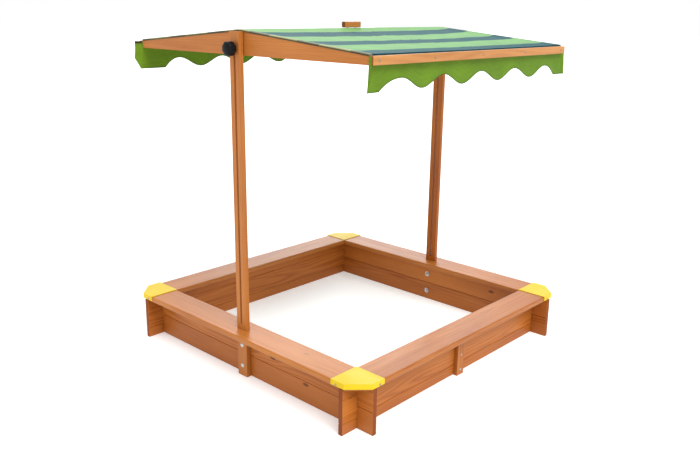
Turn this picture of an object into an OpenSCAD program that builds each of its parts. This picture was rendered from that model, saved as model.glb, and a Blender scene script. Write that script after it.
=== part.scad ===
// Square wooden sandbox with a roof that slides up and down two slotted posts,
// tilts about two knob bolts and comes down towards the box as its cover.
// Millimetres, +Z up. The origin is on the ground, in the middle of the box.
// Front is -Y, back is +Y, left is -X and right is +X. The roof ridge runs along Y.

/* [Side boards] */
// Length of every side board, tip to tip
side_len = 1180; // [940:10:1420]
// How far a board runs past the outer face of the boards that it crosses
corner_run = 65; // [48:1:80]
// Thickness of the side boards
board_t = 16; // [12:1:20]
// Height of one full board; two of them make a side
board_h = 77; // [60:1:110]
// Chamfer along the long edges of the boards
board_chamfer = 2; // [0.5:0.5:3]
// Clearance on each side of a board in the notch of the board that it crosses
lap_clearance = 0.25; // [0.1:0.05:0.5]

/* [Seat] */
// Width of the four seat planks
seat_w = 113; // [100:1:140]
// Thickness of the seat planks
seat_t = 20; // [16:1:28]
// Radius of the long edges of the seat planks
seat_edge_r = 5; // [2:1:7]

/* [Corner caps] */
// Wall of the moulded caps
cap_wall = 2.5; // [1.5:0.5:4]
// Height of the skirt below the seat's top face
cap_skirt = 15; // [10:1:18]
// Leg of the cut across the outer corner
cap_cut = 60; // [40:1:75]

/* [Posts] */
// Width of the posts
post_w = 48; // [38:1:60]
// Thickness of the posts
post_d = 18; // [14:1:24]
// Clearance round a post in its hole through the seat
post_clearance = 0.3; // [0.1:0.1:1]
// Width of the long slot in each post
slot_w = 9; // [8.6:0.1:12]
// Height of the slot's lower end above the seat
slot_foot = 20; // [5:1:60]
// How far the post reaches above the pivot bolt
post_head = 53; // [30:1:80]

/* [Roof frame] */
// Height of the pivot bolts above the ground
pivot_z = 1118; // [900:1:1300]
// Half length of the gable boards
gable_half = 543.5; // [430:0.5:660]
// Thickness of the gable boards
gable_t = 16; // [12:1:20]
// Height of a gable board at its ends
gable_end_h = 26; // [22:1:40]
// Height of a gable board at the ridge
gable_mid_h = 79; // [60:1:140]
// Height of the pivot bolt above a gable board's lower edge
pivot_up = 21; // [18:1:30]
// Gap between a post and the gable board beside it
post_gap = 2; // [1.6:0.1:4]
// Thickness of the ridge beam
ridge_t = 16; // [12:1:24]
// Depth of the ridge beam
ridge_h = 40; // [25:1:45]
// Length of the block on top of the ridge
block_len = 82; // [50:1:120]
// Height of that block
block_h = 20; // [12:1:40]
// Distance of that block from the middle of the ridge, towards the back
block_offset = -8; // [-60:1:60]
// Thickness of the inner rails along the eaves
rail_t = 16; // [12:1:24]
// Height of the inner rails
rail_h = 23; // [16:1:26]
// Thickness of the outer battens that clamp the cloth
batten_t = 15; // [10:1:20]
// Height of the outer battens
batten_h = 25; // [18:1:30]

/* [Cloth] */
// Thickness of the roof cloth
cloth_t = 1.6; // [0.8:0.1:2.5]
// How far the cloth's hem comes down the outside of a gable board
hem_drop = 6; // [3:1:12]
// Thickness of that hem
hem_t = 1; // [0.5:0.1:1.2]
// Thickness of a valance
valance_t = 1; // [0.5:0.1:2]
// How far a valance hangs below its batten at the points of the scallops
valance_drop = 74; // [40:1:110]
// Depth of the scallops
scallop_depth = 34; // [15:1:45]
// Distance from one scallop to the next
scallop_pitch = 198; // [120:1:260]
// How far the scallops of the right valance are shifted along it
right_shift = 12; // [0:1:60]
// How far the scallops of the left valance are shifted along it
left_shift = 32; // [0:1:60]
// How far down the folded end of a valance keeps its full width
valance_fold = 60; // [40:1:80]

/* [Cleats] */
// Width of the upright cleats half way along the left and right sides
cleat_w = 38; // [25:1:60]
// Thickness of the cleats
cleat_t = 16; // [10:1:24]

/* [Hardware] */
// Diameter of the pivot bolts and of the bolts that hold the posts
bolt_d = 8; // [6:0.5:8.4]
// Radial clearance of a bolt in the hole that it turns in
turn_clearance = 0.05; // [0.02:0.01:0.1]
// Radial clearance of a bolt in the hole that it only passes through
hole_clearance = 0.2; // [0.1:0.05:0.5]
// Gap between parts that move past each other face to face
slip = 0.3; // [0.2:0.05:0.35]
// Diameter of a knob
knob_d = 46; // [36:1:60]
// Thickness of a knob, hub and grip together
knob_t = 31; // [25:1:37]
// Height of a knob's narrow hub
knob_hub = 3; // [2:1:12]
// Number of finger grooves round a knob
knob_grooves = 8; // [5:1:12]
// Diameter of the wood screws
screw_d = 4; // [3:0.5:5]
// Number of screws along each eave batten
batten_screws_n = 5; // [3:2:9]
// Distance of a batten's outer screws from its ends
batten_screw_in = 26; // [22:1:60]

/* [Hidden] */
$fn = 48;

WOOD = "#c48250";
SEAT_WOOD = "#dcab84";
POST_WOOD = "#d08d56";
CAP_YELLOW = "#fbe35a";
STEEL = "#b9bcbf";
BRASS = "#b58f45";
BLACK = "#1b1b1b";
CLOTH = "#8fcf98";
VALANCE = "#74a032";

half = side_len / 2;
wall = half - corner_run;           // outer face of the side boards
wall_mid = wall - board_t / 2;      // middle of the side boards' thickness
wall_in = wall - board_t;           // inner face of the side boards
side_h = 2 * board_h;               // height of a finished side
lap_h = board_h / 4;                // depth of every notch
seat_top = side_h + seat_t;
seat_in = half - seat_w;            // inner edge of the seat
bolt_r = bolt_d / 2;
hole_r = bolt_r + hole_clearance;
turn_r = bolt_r + turn_clearance;
screw_r = screw_d / 2;
pilot_r = screw_r + 0.05;
post_out = wall + post_d;           // outer face of a post
post_z = pivot_z + post_head;
slot_lo = seat_top + slot_foot;
slot_hi = pivot_z + bolt_r + slip;
washer_r = bolt_d * 1.35;
washer_t = 1.6;
inner_washer_t = post_gap - 2 * slip;

gable_out = wall - post_gap;        // outer face of the gable boards
gable_in = gable_out - gable_t;
gable_z = pivot_z - pivot_up;       // lower edge of the gable boards
ridge_z = gable_z + gable_mid_h;    // where the cloth lies on the ridge
eave_z = gable_z + gable_end_h;     // where the cloth lies at the eaves
pitch = atan((gable_mid_h - gable_end_h) / gable_half);
cloth_v = cloth_t / cos(pitch);     // the cloth's thickness measured straight up
eave_lap = gable_half + hem_t;      // the cloth's fold over the eave ends here
valance_in = eave_lap;
batten_in = valance_in + valance_t;
batten_half = gable_out + hem_t;
batten_z = eave_z - 1 - batten_h;   // lower edge of the battens
valance_half = batten_half + slip + valance_t;
rail_z = eave_z - 2 - rail_h;       // lower edge of the inner rails
rail_out = gable_half;

screw_head_r = screw_d * 0.95;
screw_head_h = screw_d * 0.4;
cap_screw_in = 21;                  // cap screws from the cap's inner edges
seat_screw_in = 15;                 // seat screws from the seat's inner edge
seat_screw_len = seat_t + 35;
cleat_screw_len = cleat_t + board_t - 3;
cleat_screw_z = [board_h / 4, board_h, board_h * 7 / 4];
cap_screw_len = 18;
cap_screw_z = seat_top - cap_skirt / 2 - 2;
batten_screw_len = batten_t + valance_t + hem_t + rail_t - 3;
gable_screw_len = gable_t + 34;
block_screw_len = block_h + 22;
block_screw_y = [block_offset - block_len / 4, block_offset + block_len / 4];
gable_screw_z = [ridge_z - 12, ridge_z - ridge_h + 8];
pivot_head_h = 4;
hub_h = knob_hub;
pivot_tip = hub_h + 6;              // how far a pivot bolt reaches into its knob
washer_out = post_out + slip + washer_t;
knob_in = washer_out + slip;        // inner face of a knob's hub
hub_r = knob_d * 0.27;
bush_r = bolt_r + 2.5;
bush_h = hub_h + 10;

// ---- shared shapes -------------------------------------------------------

// the same thing at -Y (s = -1) or mirrored to +Y (s = 1)
module front_or_back(s) {
    if (s > 0) mirror([0, 1, 0]) children();
    else children();
}

// the same thing at +X (s = 1) or mirrored to -X (s = -1)
module right_or_left(s) {
    if (s < 0) mirror([1, 0, 0]) children();
    else children();
}

// local +Z turned to point along -Y
module toward_front() {
    rotate([90, 0, 0]) children();
}

// local +Z turned to point along +X
module toward_right() {
    rotate([0, 90, 0]) children();
}

// a board along X, centred on Y, standing on z = 0, with chamfered long edges
module board(len, t, h, c) {
    a = t / 2;
    rotate([90, 0, 90]) linear_extrude(len, center = true)
        polygon([[-a + c, 0], [a - c, 0], [a, c], [a, h - c],
                 [a - c, h], [-a + c, h], [-a, h - c], [-a, c]]);
}

// a board whose two ends are notched from below and from above, for the
// crossing boards
module notched_board(h, below, above) {
    notch = board_t + 2 * lap_clearance;
    difference() {
        board(side_len, board_t, h, board_chamfer);
        for (x = [-wall_mid, wall_mid]) {
            if (below) translate([x - notch / 2, -board_t, -1]) cube([notch, 2 * board_t, lap_h + 1]);
            if (above) translate([x - notch / 2, -board_t, h - lap_h]) cube([notch, 2 * board_t, lap_h + 1]);
        }
    }
}

// a rectangle in the XY plane with true round corners
module round_rect(w, h, r) {
    translate([r, 0]) square([w - 2 * r, h]);
    translate([0, r]) square([w, h - 2 * r]);
    for (x = [r, w - r], y = [r, h - r]) translate([x, y]) circle(r = r);
}

// a straight hole or shaft along Y through the wall at y = -from to y = -to
module hole_y(x, z, r, from, to) {
    translate([x, -from, z]) toward_front() cylinder(r = r, h = to - from);
}

// a button-head wood screw: the shank runs down from z = 0, the head sits on top
module wood_screw(len) {
    difference() {
        union() {
            translate([0, 0, -len]) cylinder(r1 = screw_r * 0.3, r2 = screw_r, h = screw_d);
            translate([0, 0, -len + screw_d]) cylinder(r = screw_r, h = len - screw_d);
            cylinder(r1 = screw_head_r, r2 = screw_head_r * 0.8, h = screw_head_h);
        }
        for (a = [0, 90]) rotate(a)
            translate([-screw_head_r * 0.55, -screw_r * 0.15, screw_head_h * 0.4])
                cube([screw_head_r * 1.1, screw_r * 0.3, screw_head_h]);
    }
}

// the hole that such a screw bites into
module pilot(len) {
    translate([0, 0, -len - 0.5]) cylinder(r = pilot_r, h = len + 1);
}

// a low dome of radius r and height h standing on z = 0
module dome(r, h) {
    ball = (r * r + h * h) / (2 * h);
    intersection() {
        translate([0, 0, h - ball]) sphere(r = ball);
        cylinder(r = r + 1, h = h + 1);
    }
}

// ---- the box -------------------------------------------------------------

// side boards along X: lower (z0 = 0) and upper (z0 = board_h)
module long_board(s, z0) {
    color(WOOD) front_or_back(s) difference() {
        translate([0, -wall_mid, z0]) notched_board(board_h, true, true);
        hole_y(0, z0 + board_h / 2, hole_r, wall_in - 1, wall + 1);
        if (z0 > 0) for (x = [-1, 1] * (seat_in + seat_screw_in))
            translate([x, -wall_mid, seat_top]) pilot(seat_screw_len);
    }
}

// side boards along Y: a half board, a full board and a half board
module cross_board(s, z0, h, below, above) {
    color(WOOD) right_or_left(s) difference() {
        translate([wall_mid, 0, z0]) rotate(90) notched_board(h, below, above);
        for (z = cleat_screw_z) if (z > z0 && z < z0 + h)
            translate([wall + cleat_t, 0, z]) toward_right() pilot(cleat_screw_len);
        if (!above) for (y = [-1, 1] * (seat_in + seat_screw_in))
            translate([wall_mid, y, seat_top]) pilot(seat_screw_len);
    }
}

module front_board_lower() { long_board(-1, 0); }
module front_board_upper() { long_board(-1, board_h); }
module back_board_lower() { long_board(1, 0); }
module back_board_upper() { long_board(1, board_h); }
module left_board_bottom() { cross_board(-1, 0, board_h / 2, false, true); }
module left_board_middle() { cross_board(-1, board_h / 2, board_h, true, true); }
module left_board_top() { cross_board(-1, board_h * 3 / 2, board_h / 2, true, false); }
module right_board_bottom() { cross_board(1, 0, board_h / 2, false, true); }
module right_board_middle() { cross_board(1, board_h / 2, board_h, true, true); }
module right_board_top() { cross_board(1, board_h * 3 / 2, board_h / 2, true, false); }

// a cleat stands on the ground against the middle of the left or right side
module cleat(s) {
    color(WOOD) right_or_left(s) difference() {
        translate([wall, -cleat_w / 2, 0]) linear_extrude(side_h) round_rect(cleat_t, cleat_w, 1.5);
        for (z = cleat_screw_z)
            translate([wall + cleat_t, 0, z]) toward_right() pilot(cleat_screw_len);
    }
}

module cleat_left() { cleat(-1); }
module cleat_right() { cleat(1); }

module cleat_screws() {
    color(STEEL) for (s = [-1, 1], z = cleat_screw_z) right_or_left(s)
        translate([wall + cleat_t, 0, z]) toward_right() wood_screw(cleat_screw_len);
}

// ---- the seat ------------------------------------------------------------

// plan of the front plank: mitred ends, with the tips cut off under the caps
module seat_plan() {
    c = cap_cut;
    polygon([[-seat_in, -seat_in], [seat_in, -seat_in], [half - c / 2, -half + c / 2],
             [half - c, -half], [-half + c, -half], [-half + c / 2, -half + c / 2]]);
}

module seat_plank() {
    difference() {
        intersection() {
            translate([0, -half, side_h]) rotate([90, 0, 90])
                linear_extrude(side_len, center = true) round_rect(seat_w, seat_t, seat_edge_r);
            translate([0, 0, side_h - 1]) linear_extrude(seat_t + 2) seat_plan();
        }
        for (x = [-1, 1] * (seat_in + seat_screw_in)) {
            translate([x, -wall_mid, seat_top]) pilot(seat_screw_len);
            translate([x, -wall_mid, seat_top - screw_head_h - 0.2])
                cylinder(r = screw_head_r + hole_clearance, h = screw_head_h + 1.2);
        }
        for (x = [-1, 1] * (seat_in + cap_screw_in))
            translate([x, -half - cap_wall, cap_screw_z]) toward_front() pilot(cap_screw_len);
    }
}

// the front and back planks also have the holes that the posts stand in
module seat_with_post(s) {
    gap = post_clearance;
    color(SEAT_WOOD) front_or_back(s) difference() {
        seat_plank();
        translate([-post_w / 2 - gap, -post_out - gap, side_h - 1])
            cube([post_w + 2 * gap, post_d + gap, seat_t + 2]);
    }
}

module seat_front() { seat_with_post(-1); }
module seat_back() { seat_with_post(1); }
module seat_left() { color(SEAT_WOOD) rotate(-90) seat_plank(); }
module seat_right() { color(SEAT_WOOD) rotate(90) seat_plank(); }

module seat_screws() {
    color(STEEL) for (a = [0:90:270], x = [-1, 1] * (seat_in + seat_screw_in))
        rotate(a) translate([x, -wall_mid, seat_top - screw_head_h - 0.2]) wood_screw(seat_screw_len - 3);
}

// ---- the corner caps -----------------------------------------------------

// plan of the cap at the +X -Y corner, with its outer sides moved out by o
module cap_plan(o) {
    k = o * (2 - sqrt(2));
    polygon([[seat_in, -seat_in], [seat_in, -half - o], [half - cap_cut + o - k, -half - o],
             [half + o, -half + cap_cut - o + k], [half + o, -seat_in]]);
}

module cap(sx, sy) {
    color(CAP_YELLOW) right_or_left(sx) front_or_back(sy) difference() {
        translate([0, 0, seat_top - cap_skirt]) linear_extrude(cap_skirt + cap_wall) cap_plan(cap_wall);
        translate([0, 0, seat_top - cap_skirt - 1]) linear_extrude(cap_skirt + 1) difference() {
            translate([seat_in - 1, -half]) square([seat_w + 1, seat_w + 1]);
            polygon([[half - cap_cut - 1, -half - 1], [half + 1, -half + cap_cut + 1], [half + 1, -half - 1]]);
        }
        translate([0, -half - cap_wall, 0]) translate([seat_in + cap_screw_in, 0, cap_screw_z])
            toward_front() pilot(cap_screw_len);
        translate([half + cap_wall, -seat_in - cap_screw_in, cap_screw_z])
            toward_right() pilot(cap_screw_len);
    }
}

module cap_front_left() { cap(-1, -1); }
module cap_front_right() { cap(1, -1); }
module cap_back_left() { cap(-1, 1); }
module cap_back_right() { cap(1, 1); }

module cap_screws() {
    color(STEEL) for (a = [0:90:270], x = [-1, 1] * (seat_in + cap_screw_in))
        rotate(a) translate([x, -half - cap_wall, cap_screw_z]) toward_front() wood_screw(cap_screw_len);
}

// ---- the posts -----------------------------------------------------------

module post(s) {
    color(POST_WOOD) front_or_back(s) difference() {
        translate([-post_w / 2, -post_out, 0]) linear_extrude(post_z) round_rect(post_w, post_d, 2);
        hull_slot(slot_lo, slot_hi);
        for (z = [1, 3] * board_h / 2) hole_y(0, z, hole_r, wall - 1, post_out + 1);
    }
}

// the long slot, with round ends, right through a post
module hull_slot(lo, hi) {
    r = slot_w / 2;
    translate([-r, -post_out - 1, lo + r]) cube([slot_w, post_d + 2, hi - lo - 2 * r]);
    for (z = [lo + r, hi - r]) hole_y(0, z, r, wall - 1, post_out + 1);
}

module post_front() { post(-1); }
module post_back() { post(1); }

// the two bolts of each post: head outside, dome nut inside the box
module each_post_bolt() {
    for (s = [-1, 1], z = [1, 3] * board_h / 2) front_or_back(s) translate([0, 0, z]) children();
}

module post_bolts() {
    color(STEEL) each_post_bolt() {
        translate([0, -post_out, 0]) toward_front() dome(bolt_d, pivot_head_h);
        hole_y(0, 0, bolt_r, wall_in - washer_t - bolt_d * 0.8, post_out);
    }
}

module post_washers() {
    color(STEEL) each_post_bolt() translate([0, -wall_in + washer_t, 0]) toward_front() difference() {
        cylinder(r = washer_r, h = washer_t);
        translate([0, 0, -1]) cylinder(r = hole_r, h = washer_t + 2);
    }
}

module post_dome_nuts() {
    color(STEEL) each_post_bolt() translate([0, -wall_in + washer_t, 0]) rotate([-90, 0, 0]) difference() {
        union() {
            cylinder(r = bolt_d * 0.9, h = bolt_d * 0.8, $fn = 6);
            translate([0, 0, bolt_d * 0.8]) dome(bolt_d * 0.72, bolt_d * 0.5);
        }
        translate([0, 0, -1]) cylinder(r = turn_r, h = bolt_d * 0.8 + 1);
    }
}

// ---- the pivots and knobs ------------------------------------------------

module each_pivot() {
    for (s = [-1, 1]) front_or_back(s) translate([0, 0, pivot_z]) children();
}

module pivot_bolts() {
    color(STEEL) each_pivot() {
        translate([0, -gable_in + slip, 0]) rotate([-90, 0, 0]) dome(bolt_d, pivot_head_h);
        hole_y(0, 0, bolt_r, gable_in - slip, knob_in + pivot_tip);
    }
}

module pivot_inner_washers() {
    color(STEEL) each_pivot() translate([0, -gable_out - slip, 0]) toward_front() difference() {
        cylinder(r = washer_r, h = inner_washer_t);
        translate([0, 0, -1]) cylinder(r = hole_r, h = inner_washer_t + 2);
    }
}

module pivot_outer_washers() {
    color(STEEL) each_pivot() translate([0, -post_out - slip, 0]) toward_front() difference() {
        cylinder(r = washer_r, h = washer_t);
        translate([0, 0, -1]) cylinder(r = hole_r, h = washer_t + 2);
    }
}

// outline of a knob, from its axis outwards, with a domed face
module knob_profile() {
    r = knob_d / 2;
    edge = 5;
    translate([0, 0]) square([hub_r, hub_h]);
    translate([0, hub_h]) square([r - edge, knob_t - hub_h]);
    translate([0, hub_h + edge]) square([r, knob_t - hub_h - 2 * edge]);
    for (y = [hub_h + edge, knob_t - edge]) translate([r - edge, y]) circle(r = edge);
}

module knob(s) {
    color(BLACK) front_or_back(s) translate([0, -knob_in, pivot_z]) toward_front() difference() {
        union() {
            rotate_extrude() knob_profile();
            translate([0, 0, knob_t]) dome(knob_d * 0.36, 3);
        }
        translate([0, 0, -1]) cylinder(r = bush_r, h = bush_h + 1);
        for (i = [0:knob_grooves - 1]) rotate(i * 360 / knob_grooves)
            translate([knob_d / 2 + 3.4, 0, hub_h - 1]) cylinder(r = 6, h = knob_t);
    }
}

module knob_bush(s) {
    color(BRASS) front_or_back(s) translate([0, -knob_in, pivot_z]) toward_front() difference() {
        cylinder(r = bush_r, h = bush_h);
        translate([0, 0, -1]) cylinder(r = turn_r, h = bush_h + 2);
    }
}

module knob_front() { knob(-1); }
module knob_back() { knob(1); }
module knob_bush_front() { knob_bush(-1); }
module knob_bush_back() { knob_bush(1); }

// ---- the roof frame ------------------------------------------------------

module gable(s) {
    color(WOOD) front_or_back(s) difference() {
        translate([0, -gable_in, gable_z]) toward_front() linear_extrude(gable_t)
            polygon([[-gable_half, 0], [gable_half, 0], [gable_half, gable_end_h],
                     [0, gable_mid_h], [-gable_half, gable_end_h]]);
        hole_y(0, pivot_z, turn_r, gable_in - 1, gable_out + 1);
        for (z = gable_screw_z) translate([0, -gable_out, z]) toward_front() {
            pilot(gable_screw_len);
            translate([0, 0, -screw_head_h - 0.2])
                cylinder(r = screw_head_r + hole_clearance, h = screw_head_h + 1);
        }
    }
}

module gable_front() { gable(-1); }
module gable_back() { gable(1); }

module ridge_beam() {
    color(WOOD) difference() {
        translate([-ridge_t / 2, -gable_in, ridge_z - ridge_h - 1]) cube([ridge_t, 2 * gable_in, ridge_h]);
        for (s = [-1, 1], z = gable_screw_z) front_or_back(s)
            translate([0, -gable_out, z]) toward_front() pilot(gable_screw_len);
        for (y = block_screw_y)
            translate([0, y, ridge_z + cloth_v + block_h]) pilot(block_screw_len);
    }
}

// the block stands on the cloth, in line with the ridge
module ridge_block() {
    color(WOOD) difference() {
        translate([0, block_offset, ridge_z + cloth_v]) rotate(90) board(block_len, ridge_t, block_h, 1.5);
        for (y = block_screw_y)
            translate([0, y, ridge_z + cloth_v + block_h]) pilot(block_screw_len);
    }
}

module block_screws() {
    color(STEEL) for (y = block_screw_y)
        translate([0, y, ridge_z + cloth_v + block_h]) wood_screw(block_screw_len);
}

module gable_screws() {
    color(STEEL) for (s = [-1, 1], z = gable_screw_z) front_or_back(s)
        translate([0, -gable_out + screw_head_h + 0.2, z]) toward_front() wood_screw(gable_screw_len - 3);
}

module eave_rail(s) {
    color(WOOD) right_or_left(s) difference() {
        translate([rail_out - rail_t, -gable_in, rail_z]) cube([rail_t, 2 * gable_in, rail_h]);
        batten_screw_row() pilot(batten_screw_len);
    }
}

module eave_batten(s) {
    color(WOOD) right_or_left(s) difference() {
        translate([batten_in + batten_t / 2, 0, batten_z]) rotate(90)
            board(2 * batten_half, batten_t, batten_h, 1.5);
        batten_screw_row() pilot(batten_screw_len);
    }
}

// screws of one batten, through the valance and the cloth into the inner rail
module batten_screw_row() {
    last = batten_half - batten_screw_in;
    for (i = [0:batten_screws_n - 1])
        translate([batten_in + batten_t, last * (2 * i / (batten_screws_n - 1) - 1), batten_z + batten_h / 2])
            toward_right() children();
}

module batten_screws() {
    color(STEEL) for (s = [-1, 1]) right_or_left(s) batten_screw_row() wood_screw(batten_screw_len);
}

module eave_rail_left() { eave_rail(-1); }
module eave_rail_right() { eave_rail(1); }
module eave_batten_left() { eave_batten(-1); }
module eave_batten_right() { eave_batten(1); }

// ---- the cloth -----------------------------------------------------------

// one cloth over both slopes, turned down over the eaves and over the gables
module roof_cloth() {
    color(CLOTH) difference() {
        union() {
            translate([0, gable_out, 0]) toward_front() linear_extrude(2 * gable_out) cloth_slope(cloth_v);
            for (s = [-1, 1]) right_or_left(s) translate([gable_half, -batten_half, batten_z + 1])
                cube([eave_lap - gable_half, 2 * batten_half, eave_z + cloth_v - batten_z - 1]);
            for (s = [-1, 1]) front_or_back(s) translate([0, -gable_out, 0]) toward_front()
                linear_extrude(hem_t) hem_shape();
        }
        for (y = block_screw_y)
            translate([0, y, ridge_z + cloth_v + block_h]) pilot(block_screw_len);
        for (s = [-1, 1]) right_or_left(s) batten_screw_row() pilot(batten_screw_len);
    }
}

// the roof's section in the XZ plane, from where it lies on the wood to h above
module cloth_slope(h) {
    polygon([[-gable_half, eave_z], [0, ridge_z], [gable_half, eave_z],
             [gable_half, eave_z + h], [0, ridge_z + h], [-gable_half, eave_z + h]]);
}

module hem_shape() {
    polygon([[-gable_half, eave_z - hem_drop], [0, ridge_z - hem_drop], [gable_half, eave_z - hem_drop],
             [gable_half, eave_z + cloth_v], [0, ridge_z + cloth_v], [-gable_half, eave_z + cloth_v]]);
}

// lower edge of a valance at y: scallops up to the last low point at each end,
// and straight tabs beyond
function last_low(side, shift) =
    scallop_pitch * (round((side * valance_half - shift) / scallop_pitch - side / 2) + side / 2) + shift;

function scallop_z(y, shift) =
    let (low = batten_z - valance_drop)
    y > last_low(1, shift) || y < last_low(-1, shift) ? low
        : low + scallop_depth * (1 + cos(360 * (y - shift) / scallop_pitch)) / 2;

// a valance hangs between rail and batten, its ends folded out past the batten
module valance(s, shift) {
    steps = 96;
    top = batten_z + batten_h - 2;
    low = batten_z - valance_drop;
    fold_out = valance_in + valance_t + batten_t;
    lower = [for (i = [0:steps]) let (y = valance_half * (2 * i / steps - 1)) [y, scallop_z(y, shift)]];
    color(VALANCE) right_or_left(s) difference() {
        union() {
            translate([valance_in, 0, 0]) rotate([90, 0, 90]) linear_extrude(valance_t)
                polygon(concat(lower, [[valance_half, top], [-valance_half, top]]));
            for (t = [-1, 1]) front_or_back(t) translate([0, valance_t - valance_half, 0])
                rotate([90, 0, 0]) linear_extrude(valance_t)
                    polygon([[valance_in, top], [fold_out, top], [fold_out, top - valance_fold],
                             [valance_in + valance_t, low], [valance_in, low]]);
        }
        batten_screw_row() pilot(batten_screw_len);
    }
}

module valance_left() { valance(-1, left_shift); }
module valance_right() { valance(1, right_shift); }

front_board_lower();
front_board_upper();
back_board_lower();
back_board_upper();
left_board_bottom();
left_board_middle();
left_board_top();
right_board_bottom();
right_board_middle();
right_board_top();
seat_front();
seat_back();
seat_left();
seat_right();
cap_front_left();
cap_front_right();
cap_back_left();
cap_back_right();
cleat_left();
cleat_right();
post_front();
post_back();
post_bolts();
post_washers();
post_dome_nuts();
seat_screws();
cap_screws();
cleat_screws();
pivot_bolts();
pivot_inner_washers();
pivot_outer_washers();
knob_front();
knob_back();
knob_bush_front();
knob_bush_back();
gable_front();
gable_back();
ridge_beam();
ridge_block();
eave_rail_left();
eave_rail_right();
eave_batten_left();
eave_batten_right();
roof_cloth();
valance_left();
valance_right();
gable_screws();
batten_screws();
block_screws();
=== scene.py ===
# %% [markdown]
# # A sandbox with a roof that slides and tilts
# A square timber box with a seat all round, four moulded corner caps and a striped
# cloth roof on two slotted posts. The timber, the screws and the bolts come from the
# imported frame. This lesson gives them their finishes and makes the soft and the
# moulded pieces: the roof cloth, the two valances, the knobs and the caps.

# %% Load the frame
import math

import bpy
import numpy as np
from mathutils import Matrix, Vector


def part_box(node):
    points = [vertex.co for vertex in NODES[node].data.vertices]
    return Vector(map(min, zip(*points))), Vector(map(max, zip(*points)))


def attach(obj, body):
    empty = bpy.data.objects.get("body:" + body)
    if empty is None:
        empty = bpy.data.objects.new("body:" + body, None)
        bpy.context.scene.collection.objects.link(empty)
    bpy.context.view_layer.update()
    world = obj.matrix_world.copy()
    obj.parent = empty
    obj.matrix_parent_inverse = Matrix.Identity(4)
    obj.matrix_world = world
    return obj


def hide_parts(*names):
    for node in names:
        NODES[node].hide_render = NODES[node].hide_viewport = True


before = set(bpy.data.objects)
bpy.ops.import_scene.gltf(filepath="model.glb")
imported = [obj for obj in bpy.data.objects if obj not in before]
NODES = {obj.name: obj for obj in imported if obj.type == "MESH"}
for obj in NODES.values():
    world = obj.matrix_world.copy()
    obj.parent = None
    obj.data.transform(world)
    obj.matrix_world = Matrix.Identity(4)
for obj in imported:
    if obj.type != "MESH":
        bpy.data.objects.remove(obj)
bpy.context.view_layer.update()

# %% [markdown]
# The camera stands in front of the right-hand corner, a little above the roof, and
# looks slightly down. A camera's own axes are built by hand here: its -Z is the
# heading, its X and Y are turned by the small roll. That is exact, where a
# track-to constraint would lose the roll.

# %% Camera
def stand_camera(place, heading, dip, roll, lens):
    """Axes of a camera that looks along a heading, dips below the horizon and rolls."""
    a, p, r = (math.radians(v) for v in (heading, dip, roll))
    ahead = Vector((-math.sin(a) * math.cos(p), math.cos(a) * math.cos(p), -math.sin(p)))
    right = Vector((math.cos(a), math.sin(a), 0.0))
    above = right.cross(ahead)
    x_axis = right * math.cos(r) + above * math.sin(r)
    y_axis = above * math.cos(r) - right * math.sin(r)
    turn = Matrix((x_axis, y_axis, -ahead)).transposed().to_4x4()
    data = bpy.data.cameras.new("camera")
    data.lens, data.sensor_width = lens, 36.0
    data.clip_start, data.clip_end = 0.05, 200.0
    camera = bpy.data.objects.new("camera", data)
    camera.matrix_world = Matrix.Translation(place) @ turn
    bpy.context.scene.collection.objects.link(camera)
    bpy.context.scene.camera = camera
    return camera


camera = stand_camera((1.9274, -2.0834, 1.2420), 42.78, 15.77, 0.81, 39.379)
print("camera at", [round(v, 2) for v in camera.location])

# %% [markdown]
# The studio is a white light table under a white sky, so no horizon and hardly any
# shadow is seen. The key light comes from the right and from high up: it reaches the
# right-hand faces, and the roof keeps it out of the box. A weaker light from behind
# lays a pale sheen on the seat planks that it reaches under the roof. Both are sun
# lamps, because a nearby lamp would leave a bright pool on the floor.

# %% Floor and lamps
FLOOR_GREY = 0.72
FLOOR_GLOW = 0.38
FLOOR_HALF = 40


def put_sun(name, towards, strength, spread, colour=(1.0, 1.0, 1.0)):
    """A sun lamp that shines from a direction, with a spread in degrees that softens its shadows."""
    data = bpy.data.lights.new(name, "SUN")
    data.energy, data.angle, data.color = strength, math.radians(spread), colour
    lamp = bpy.data.objects.new(name, data)
    lamp.rotation_euler = Vector(towards).to_track_quat("Z", "Y").to_euler()
    bpy.context.scene.collection.objects.link(lamp)
    return lamp


put_sun("key_light", (1.0, -0.18, 1.50), 2.5, 34.0, (1.0, 0.985, 0.96))
put_sun("sheen_light", (-0.68, 0.73, 0.60), 1.0, 24.0)

sky = bpy.data.worlds.new("studio_sky")
sky.use_nodes = True
sky.node_tree.nodes["Background"].inputs["Color"].default_value = (1.0, 1.0, 1.0, 1.0)
sky.node_tree.nodes["Background"].inputs["Strength"].default_value = 1.0
bpy.context.scene.world = sky
bpy.context.scene.view_settings.view_transform = "Standard"

floor_paint = bpy.data.materials.new("floor_paint")
floor_paint.use_nodes = True
for socket, value in (("Base Color", (FLOOR_GREY, FLOOR_GREY, FLOOR_GREY, 1.0)), ("Roughness", 0.9),
                      ("Emission Color", (1.0, 1.0, 1.0, 1.0)), ("Emission Strength", FLOOR_GLOW)):
    floor_paint.node_tree.nodes["Principled BSDF"].inputs[socket].default_value = value
floor_mesh = bpy.data.meshes.new("studio_floor")
floor_corners = [(FLOOR_HALF * i, FLOOR_HALF * j, 0) for i, j in ((-1, -1), (1, -1), (1, 1), (-1, 1))]
floor_mesh.from_pydata(floor_corners, [], [(0, 1, 2, 3)])
floor_mesh.materials.append(floor_paint)
studio_floor = bpy.data.objects.new("studio_floor", floor_mesh)
bpy.context.scene.collection.objects.link(studio_floor)
print("studio: 2 suns, 1 floor")

# %% [markdown]
# Node trees are long to write out, so three small helpers add a node, do one sum,
# and mix two colours. Each takes either plain values or the sockets of other nodes.

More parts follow.
